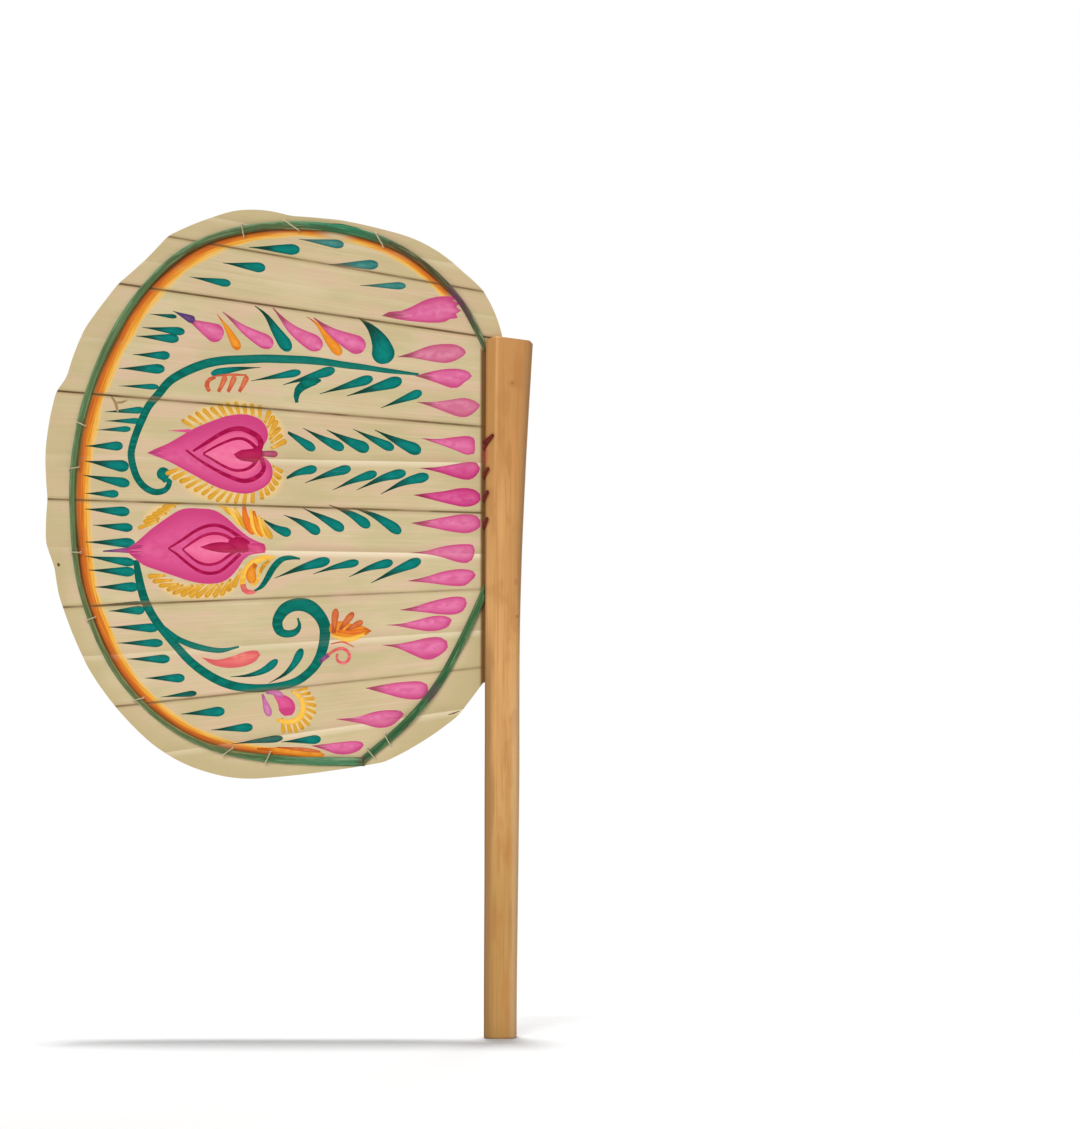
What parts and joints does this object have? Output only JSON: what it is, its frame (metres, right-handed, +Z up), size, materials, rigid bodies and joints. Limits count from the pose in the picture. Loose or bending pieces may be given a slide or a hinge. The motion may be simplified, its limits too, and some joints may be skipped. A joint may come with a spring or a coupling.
{
  "type": "hand fan",
  "caption": "Rigid side-handled hand fan: a pleated palm-leaf blade held in the kerf of a bamboo handle and stiffened by stitched split-bamboo hoops.",
  "frame": {"origin": "centre of the handle's flat foot", "axes": "+Z up the handle to its head, +Y away from the painted front, +X from the blade to the handle's free edge; the viewer stands at -Y"},
  "size_m": [0.244, 0.0148, 0.4136],
  "materials": {
    "bamboo": "planed bamboo, dry, slight sheen",
    "palm_leaf": "dried palm leaf, matt, painted on the front",
    "green_bamboo": "green paint on split bamboo, satin",
    "cream_thread": "twisted cotton thread, matt",
    "red_thread": "twisted cotton thread, matt"
  },
  "bodies": {
    "root": {"bamboo_handle": "bamboo", "leaf_blade": "palm_leaf", "front_hoop": "green_bamboo", "front_hoop_tail": "green_bamboo", "back_hoop": "green_bamboo", "back_hoop_tail": "green_bamboo", "rim_stitch_01": "cream_thread", "rim_stitch_02": "cream_thread", "rim_stitch_03": "cream_thread", "rim_stitch_04": "cream_thread", "rim_stitch_05": "cream_thread", "rim_stitch_06": "cream_thread", "rim_stitch_07": "cream_thread", "rim_stitch_08": "cream_thread", "rim_stitch_09": "cream_thread", "rim_stitch_10": "cream_thread", "rim_stitch_11": "cream_thread", "rim_stitch_12": "cream_thread", "handle_lashing_1": "red_thread", "handle_lashing_2": "red_thread", "handle_lashing_3": "red_thread", "handle_lashing_4": "red_thread"}
  },
  "joints": []
}
